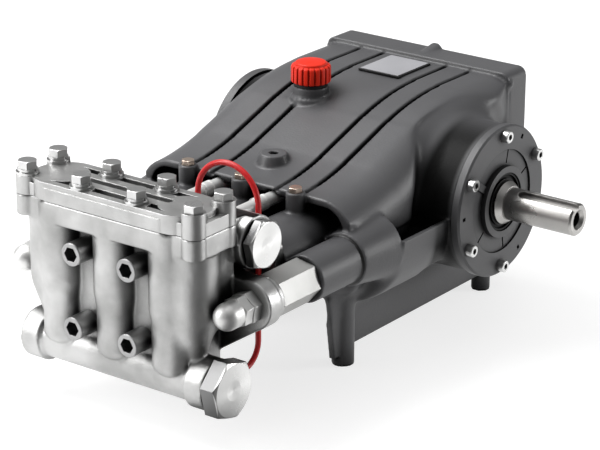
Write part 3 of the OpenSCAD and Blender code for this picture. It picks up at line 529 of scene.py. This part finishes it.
# Painted shadow in the pocket beside the drive side drum.
painted_drum_shadow(casting_paint)
ring_line(casting_paint)
roots = [((side * ROOT_MIDDLE[0], ROOT_MIDDLE[1], ROOT_MIDDLE[2]), ROOT_SIZE) for side in (-1, 1)]
crankcase_skin = cast_skin("crankcase", "crankcase_casting", CASTING_GRAIN, 2, SKIN_LIMIT, (
    (6, DRUM_DEPTH, "X", drum_hollow), (45, 0, "X", around_drum), (60, 0, "X", around_swelling),
    (60, 0, "X", over_top), (0, GROOVE_DEPTH, "Z", in_grooves), (70, 0, "X", under_swelling)), roots)
crankcase_skin.data.materials.clear()
crankcase_skin.data.materials.append(casting_paint)
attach(crankcase_skin, "pump")
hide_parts("crankcase")
dress("rear_cover", casting_paint)
cover_paint = paint_nodes("cover_paint", COVER_PAINT, COVER_WORN, 0.45, 900, 0.0006)
joint_line(cover_paint, "X", COVER_JOINT_X, SIDE_JOINT_HALF)
dress("drive_bearing_cover", cover_paint)
dress("blind_bearing_cover", cover_paint)


# Rubber seals and gaskets
# Moulded black rubber, dull, with a faint bloom. The seals are pressed in or lie under what is screwed
# down, and the name plate's base is a strip of the same rubber.

RUBBER = (0.012, 0.012, 0.012, 1)
RUBBER_BLOOM = (0.022, 0.022, 0.022, 1)

rubber = paint_nodes("seal_rubber", RUBBER, RUBBER_BLOOM, 0.62, 1500, 0.0004)
for node in ("shaft_oil_seal", "filler_gasket", "plug_seals", "name_plate_base"):
    dress(node, rubber)


# Cast stainless manifold and cover
# Investment cast stainless steel, shot blasted to a fine satin, with slow waves left from the wax. The
# cover is bolted down on the manifold, and the packing block behind it is of the same steel.

STAINLESS = (0.60, 0.60, 0.595, 1)
STAINLESS_DULL = (0.40, 0.40, 0.395, 1)
MANIFOLD_GRAIN = 0.0012
LID_JOINT_Z = 0.2193
LID_JOINT_HALF = 0.0005


def steel_nodes(name, bright, dull, roughness, wave, grit, edge, brushed=None, darkest=0.35, reach=0.015):
    """Bare steel: cloudy tone, painted shade in the hollows, slow waves, fine grit, softened edges and,
    when turned, a brushed sheen.
    """
    material, tree, shader = new_material(name)
    nodes, link = tree.nodes, tree.links.new
    shader.inputs["Metallic"].default_value = 1.0
    place = nodes.new("ShaderNodeTexCoord")
    cloud, tone = cloudy_tone(nodes, link, place, 22, 6, ((0.32, dull), (0.66, bright)))
    # Painted shade: the hollows darken the steel's base colour.
    darken(nodes, link, tone, painted_hollow_shade(nodes, link, reach, darkest, 0.30, 0.85), shader)
    varied_gloss(nodes, link, cloud, roughness + 0.07, roughness - 0.05, shader)
    swell = fine_noise(nodes, link, place, 45, 2)
    grain = fine_noise(nodes, link, place, 1100, 2)
    waves = raised(nodes, link, swell, softened_edges(nodes, link, edge), wave, 0.002)
    link(raised(nodes, link, grain, waves, grit, 0.0003), shader.inputs["Normal"])
    if brushed:
        along = nodes.new("ShaderNodeTangent")
        along.direction_type = "RADIAL"
        along.axis = brushed
        link(along.outputs["Tangent"], shader.inputs["Tangent"])
        shader.inputs["Anisotropic"].default_value = 0.7
    return material


def around_shoulder(x, y, z):
    """The outer columns run round to the lugs in one broad turn."""
    across = ramp(abs(x), 0.068, 0.076) * ramp(abs(x), 0.124, 0.114)
    return across * ramp(y, -0.338, -0.346) * ramp(z, 0.085, 0.100) * ramp(z, 0.196, 0.186)


def flange_roots(x, y, z):
    """The columns and the flange meet in soft roots."""
    height = ramp(z, 0.160, 0.175) * ramp(z, 0.199, 0.196)
    return height * ramp(abs(x), 0.112, 0.100) * ramp(y, -0.340, -0.350) * 0.6


# The manifold's hollows get deep painted shade, down to 0.12 of its colour.
cast_steel = steel_nodes(
    "cast_stainless", STAINLESS, STAINLESS_DULL, 0.42, 0.5, 0.5, 0.0018, None, 0.12, 0.05)
joint_line(cast_steel, "Z", LID_JOINT_Z, LID_JOINT_HALF)
manifold_skin = cast_skin(
    "valve_manifold", "manifold_casting", MANIFOLD_GRAIN, 4, SKIN_LIMIT,
    ((170, 0, "X", around_shoulder), (20, 0, "X", flange_roots)))
manifold_skin.data.materials.clear()
manifold_skin.data.materials.append(cast_steel)
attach(manifold_skin, "pump")
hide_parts("valve_manifold")
dress("valve_cover", steel_nodes(
    "cover_stainless", STAINLESS, STAINLESS_DULL, 0.38, 0.3, 0.4, 0.0010, None, 0.40, 0.02))
dress("packing_block", cast_steel)


# Screws, plugs, nuts, spacers and rods
# Turned, milled or drawn steel, stainless or zinc plated, bright, with crisp edges. All of it is screwed
# in or held by a thread, and the hood bolts have a copper wash.

ZINC = (0.74, 0.74, 0.73, 1)
ZINC_DULL = (0.60, 0.60, 0.60, 1)
SOCKET = (0.42, 0.42, 0.42, 1)
SOCKET_DULL = (0.33, 0.33, 0.33, 1)
MILLED = (0.80, 0.80, 0.79, 1)
MILLED_DULL = (0.70, 0.70, 0.69, 1)
DRAWN = (0.50, 0.50, 0.49, 1)
DRAWN_DULL = (0.42, 0.42, 0.41, 1)
GROUND_DULL = (0.72, 0.72, 0.71, 1)
TURNED = (0.82, 0.82, 0.81, 1)
TURNED_DULL = (0.76, 0.76, 0.75, 1)
FLANK_DARK = (0.20, 0.20, 0.20, 1)
COPPERED = (0.80, 0.66, 0.56, 1)
COPPERED_DULL = (0.66, 0.52, 0.42, 1)
FACE_START = 0.0025
FACE_END = 0.0010


def darker_flanks(material, face_x):
    """The hexagon flanks behind a turned face at face_x are coloured darker than the face."""
    tree = material.node_tree
    step = tree.nodes.new("ShaderNodeMapRange")
    step.inputs["From Min"].default_value = face_x - FACE_START
    step.inputs["From Max"].default_value = face_x - FACE_END
    step.inputs["To Min"].default_value = 1.0
    step.inputs["To Max"].default_value = 0.0
    tree.links.new(place_on(tree)["X"], step.inputs["Value"])
    tint(material, FLANK_DARK, step.outputs["Result"])


zinc = steel_nodes("zinc_screws", ZINC, ZINC_DULL, 0.28, 0.05, 0.2, 0.0004)
for node in ("bearing_cover_screws", "cover_bolts", "cover_washers", "rear_cover_screws", "oil_drain_plug"):
    dress(node, zinc)
dress("manifold_screws", steel_nodes("socket_screws", SOCKET, SOCKET_DULL, 0.38, 0.1, 0.3, 0.0007))
dress("tube_fittings", steel_nodes("milled_stainless", MILLED, MILLED_DULL, 0.24, 0.05, 0.1, 0.0006))
dress("lug_spacers", steel_nodes("drawn_spacers", DRAWN, DRAWN_DULL, 0.50, 0.05, 0.2, 0.0007))
rods = steel_nodes("ground_rods", MILLED, GROUND_DULL, 0.48, 0.0, 0.1, 0.0004, None, 0.75, 0.006)
rods.node_tree.nodes["Principled BSDF"].inputs["Metallic"].default_value = 0.6
dress("upper_rods", rods)
dress("lug_nuts", steel_nodes("satin_nuts", MILLED, MILLED_DULL, 0.46, 0.1, 0.3, 0.0010))
for node in ("suction_plug", "discharge_plug"):
    turned = steel_nodes("turned_" + node, TURNED, TURNED_DULL, 0.27, 0.0, 0.05, 0.0006, "X")
    face = max(corner[0] for corner in bpy.data.objects[node].bound_box)
    darker_flanks(turned, face)
    dress(node, turned)
dress("hood_bolts", steel_nodes("copper_bolts", COPPERED, COPPERED_DULL, 0.30, 0.05, 0.2, 0.0005))


# Crankshaft end
# Ground alloy steel, oiled, with fine rings from the wheel. It runs in the bearings behind the covers
# and comes out through the oil seal with its keyway.

SHAFT = (0.50, 0.49, 0.47, 1)
SHAFT_DULL = (0.42, 0.41, 0.40, 1)

dress("crankshaft", steel_nodes("ground_shaft", SHAFT, SHAFT_DULL, 0.27, 0.0, 0.04, 0.0008, "X"))


# Filler cap
# A moulded red plastic cap with twenty broad grip ribs, a rounded shoulder and a slightly raised top. It
# screws into the collar of the crankcase over a rubber ring.

CAP_RED = (0.84, 0.030, 0.008, 1)
CAP_RED_DEEP = (0.74, 0.020, 0.006, 1)
CAP_RADIUS = 0.0217
CAP_SEAT_Z = 0.253
CAP_RIBS = 20
STEPS_A_RIB = 8
VALLEY_STEPS = (5, 6)
VALLEY = 0.925
CHAMFER = 0.965
CAP_SIDE = ((0.0012, 1 / CHAMFER), (0.0150, 1.0), (0.0018, 0.965), (0.0010, 0.90))
ROUND_STEP = (0.0003, 0.93)
CAP_TOP = ((0.0018, 0.99), (0.0008, 0.93), (0.0005, 0.72), (0.0006, 0.4))
CAP_EDGE = 0.0004


def gloss_nodes(name, base, deep, roughness, coat, sheen=0.5):
    """Moulded plastic or glaze: slight depth of tone and a clear top layer."""
    material = paint_nodes(name, deep, base, roughness, 700, 0.0008, 0.006, sheen)
    material.node_tree.nodes["Principled BSDF"].inputs["Coat Weight"].default_value = coat
    return material


def draw_up(rise, spread):
    """Extrudes the selected faces upwards and spreads or narrows them."""
    bpy.ops.mesh.extrude_region_move(TRANSFORM_OT_translate={"value": (0, 0, rise)})
    bpy.ops.transform.resize(value=(spread, spread, 1))


cap_red = gloss_nodes("cap_red", CAP_RED, CAP_RED_DEEP, 0.46, 0.05, 0.22)
dress("filler_cap", cap_red)
bpy.ops.object.select_all(action="DESELECT")
bpy.ops.mesh.primitive_circle_add(
    vertices=STEPS_A_RIB * CAP_RIBS, radius=CAP_RADIUS, fill_type="NGON", location=(0, 0, 0))
cap = bpy.context.active_object
cap.name = "filler_cap_moulding"
cap.data.name = "filler_cap_moulding"
for part in list(cap.data.polygons) + list(cap.data.edges) + list(cap.data.vertices):
    part.select = False
for corner in cap.data.vertices:
    corner.select = corner.index % STEPS_A_RIB in VALLEY_STEPS
bpy.ops.object.mode_set(mode="EDIT")
bpy.ops.mesh.select_mode(type="VERT")
bpy.ops.transform.resize(value=(VALLEY, VALLEY, 1))
bpy.ops.mesh.select_all(action="SELECT")
bpy.ops.transform.resize(value=(CHAMFER, CHAMFER, 1))
for rise, spread in CAP_SIDE:
    draw_up(rise, spread)
draw_up(*ROUND_STEP)
bpy.ops.transform.tosphere(value=1.0)
for rise, spread in CAP_TOP:
    draw_up(rise, spread)
bpy.ops.mesh.select_all(action="SELECT")
bpy.ops.transform.translate(value=(FILLER_X, FILLER_Y, CAP_SEAT_Z))
bpy.ops.mesh.normals_make_consistent(inside=False)
bpy.ops.object.mode_set(mode="OBJECT")
rounded = cap.modifiers.new("rounded", "BEVEL")
rounded.width = CAP_EDGE
rounded.segments = 2
rounded.angle_limit = math.radians(25)
bpy.ops.object.modifier_apply(modifier="rounded")
bpy.ops.object.shade_smooth_by_angle(angle=math.radians(35))
cap.data.materials.append(cap_red)
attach(cap, "pump")
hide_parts("filler_cap")
cap.select_set(False)


# Leak tube, sight glass, name plate and plungers
# The tube is bent red nylon, the glass has amber oil behind it, the plate is blank anodised foil on its
# base, and the plungers are ground ceramic.

TUBE_RED = (0.66, 0.006, 0.008, 1)
TUBE_RED_DEEP = (0.56, 0.004, 0.006, 1)
OIL_AMBER = (0.55, 0.36, 0.10, 1)
OIL_AMBER_DEEP = (0.45, 0.28, 0.07, 1)
FOIL = (0.40, 0.40, 0.42, 1)
FOIL_DEEP = (0.34, 0.34, 0.36, 1)
CERAMIC = (0.80, 0.78, 0.72, 1)
CERAMIC_DEEP = (0.74, 0.72, 0.66, 1)

dress("leak_tube", gloss_nodes("tube_red", TUBE_RED, TUBE_RED_DEEP, 0.36, 0.12))
dress("oil_sight_glass", gloss_nodes("sight_glass", OIL_AMBER, OIL_AMBER_DEEP, 0.12, 0.9))
dress("name_plate", gloss_nodes("plate_white", FOIL, FOIL_DEEP, 0.34, 0.1))
dress("plungers", gloss_nodes("plunger_ceramic", CERAMIC, CERAMIC_DEEP, 0.22, 0.4))
